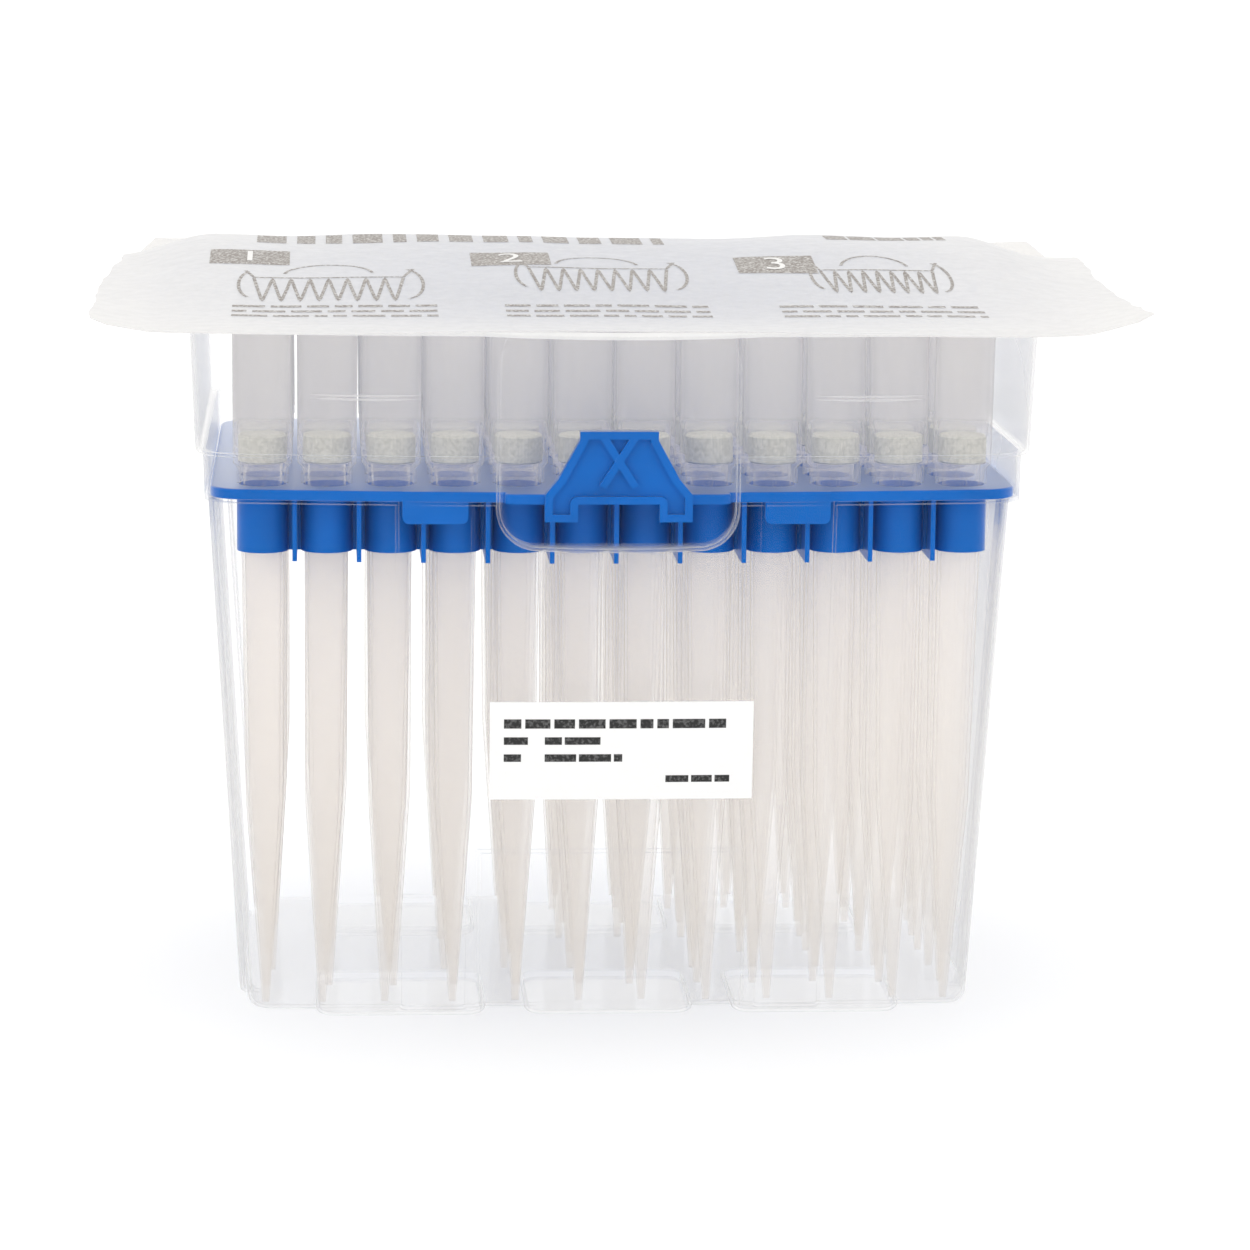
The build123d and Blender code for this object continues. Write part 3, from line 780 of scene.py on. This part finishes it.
class PACK_OT_label(bpy.types.Operator):
    """Finish the label on the front wall, with greeked lines"""

    bl_idname = "pack.label"
    bl_label = "Label"

    def execute(self, context):
        colours = colours_of(context)
        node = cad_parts["label"]
        node.data.materials.clear()
        node.data.materials.append(label_material(colours))
        draw = Print()
        left = LABEL_LOW.x + LABEL_MARGIN
        top = LABEL_HIGH.z
        for start, end, drop, height, seed, gap in LABEL_LINES:
            draw.words(left + start * MM, left + end * MM, top - drop * MM, height * MM, seed, gap * MM)
        bars = draw.piece("label_bars")
        for vertex in bars.data.vertices:
            vertex.co = (vertex.co.x, LABEL_LOW.y - PRINT_START, vertex.co.y)
        lay_on(bars, node, "Y", BAR_LIFT)
        settle(bars, print_material("label_ink", colours.label_ink, colours.label, 0.1))
        return {"FINISHED"}


class PACK_OT_stage(bpy.types.Operator):
    """Set the floor, the light and the camera"""

    bl_idname = "pack.stage"
    bl_label = "Stage"

    def execute(self, context):
        self.floor(context)
        self.world(context)
        self.camera(context)
        context.scene.view_settings.view_transform = "Standard"
        context.scene.cycles.transparent_max_bounces = 128
        context.scene.cycles.max_bounces = 6
        context.scene.cycles.diffuse_bounces = 2
        context.scene.cycles.glossy_bounces = 2
        return {"FINISHED"}

    def floor(self, context):
        sizes = sizes_of(context)
        deselect_all()
        bpy.ops.mesh.primitive_plane_add(size=sizes.floor, location=(0.0, 0.0, 0.0))
        floor = context.object
        floor.name = "floor"
        floor.data.materials.append(floor_material(colours_of(context)))

    def world(self, context):
        """White behind the pack, and a soft dome to light it, brighter from above and behind."""
        world = bpy.data.worlds.new("studio")
        context.scene.world = world
        world.use_nodes = True
        world.cycles.sampling_method = "NONE"
        tree = world.node_tree
        tree.nodes.clear()
        output = tree.nodes.new("ShaderNodeOutputWorld")
        mix = tree.nodes.new("ShaderNodeMixShader")
        path = tree.nodes.new("ShaderNodeLightPath")
        place = tree.nodes.new("ShaderNodeTexCoord")
        aim = tree.nodes.new("ShaderNodeVectorMath")
        aim.operation = "DOT_PRODUCT"
        aim.inputs[1].default_value = DOME_AIM
        ramp = tree.nodes.new("ShaderNodeMapRange")
        ramp.inputs["From Min"].default_value = -1.0
        ramp.inputs["To Min"].default_value = DOME_DIM
        ramp.inputs["To Max"].default_value = DOME_BRIGHT
        dome = tree.nodes.new("ShaderNodeBackground")
        dome.inputs["Color"].default_value = (1.0, 0.995, 0.985, 1.0)
        white = tree.nodes.new("ShaderNodeBackground")
        white.inputs["Color"].default_value = (1.0, 1.0, 1.0, 1.0)
        white.inputs["Strength"].default_value = BACKDROP
        tree.links.new(place.outputs["Generated"], aim.inputs[0])
        tree.links.new(aim.outputs["Value"], ramp.inputs["Value"])
        tree.links.new(ramp.outputs["Result"], dome.inputs["Strength"])
        tree.links.new(path.outputs["Is Camera Ray"], mix.inputs[0])
        tree.links.new(dome.outputs[0], mix.inputs[1])
        tree.links.new(white.outputs[0], mix.inputs[2])
        tree.links.new(mix.outputs[0], output.inputs["Surface"])

    def camera(self, context):
        """A long lens a little left of the middle and a little above, turned to the pack."""
        lens = bpy.data.cameras.new("camera")
        lens.sensor_width = SENSOR_WIDTH
        lens.lens = CAMERA_LENS
        lens.clip_end = CAMERA_REACH
        camera = bpy.data.objects.new("camera", lens)
        camera.location = CAMERA_PLACE
        turn = Matrix.Rotation(math.radians(CAMERA_YAW), 4, "Z")
        tilt = Matrix.Rotation(math.radians(90.0 - CAMERA_DIP), 4, "X")
        roll = Matrix.Rotation(math.radians(CAMERA_ROLL), 4, "Z")
        camera.rotation_euler = (turn @ tilt @ roll).to_euler()
        context.scene.collection.objects.link(camera)
        context.scene.camera = camera


class PACK_PT_panel(bpy.types.Panel):
    """Builds the tip pack piece by piece"""

    bl_label = "Tip Pack"
    bl_idname = "PACK_PT_panel"
    bl_space_type = "VIEW_3D"
    bl_region_type = "UI"
    bl_category = "Tip Pack"

    def draw(self, context):
        for piece in PIECES:
            self.layout.operator(piece.bl_idname)
        for group in (sizes_of(context), colours_of(context)):
            for name in group.bl_rna.properties.keys():
                if name not in ("rna_type", "name"):
                    self.layout.prop(group, name)


PIECES = (PACK_OT_tray, PACK_OT_rack, PACK_OT_tips, PACK_OT_filters, PACK_OT_film, PACK_OT_label,
          PACK_OT_stage)
CLASSES = (PackSizes, PackColours, *PIECES, PACK_PT_panel)


def register():
    for each in CLASSES:
        bpy.utils.register_class(each)
    bpy.types.Scene.pack_sizes = bpy.props.PointerProperty(type=PackSizes)
    bpy.types.Scene.pack_colours = bpy.props.PointerProperty(type=PackColours)


def unregister():
    del bpy.types.Scene.pack_colours
    del bpy.types.Scene.pack_sizes
    for each in reversed(CLASSES):
        bpy.utils.unregister_class(each)


def main():
    register()
    bpy.ops.pack.tray()
    bpy.ops.pack.rack()
    bpy.ops.pack.tips()
    bpy.ops.pack.filters()
    bpy.ops.pack.film()
    bpy.ops.pack.label()
    bpy.ops.pack.stage()


if __name__ == "__main__":
    main()
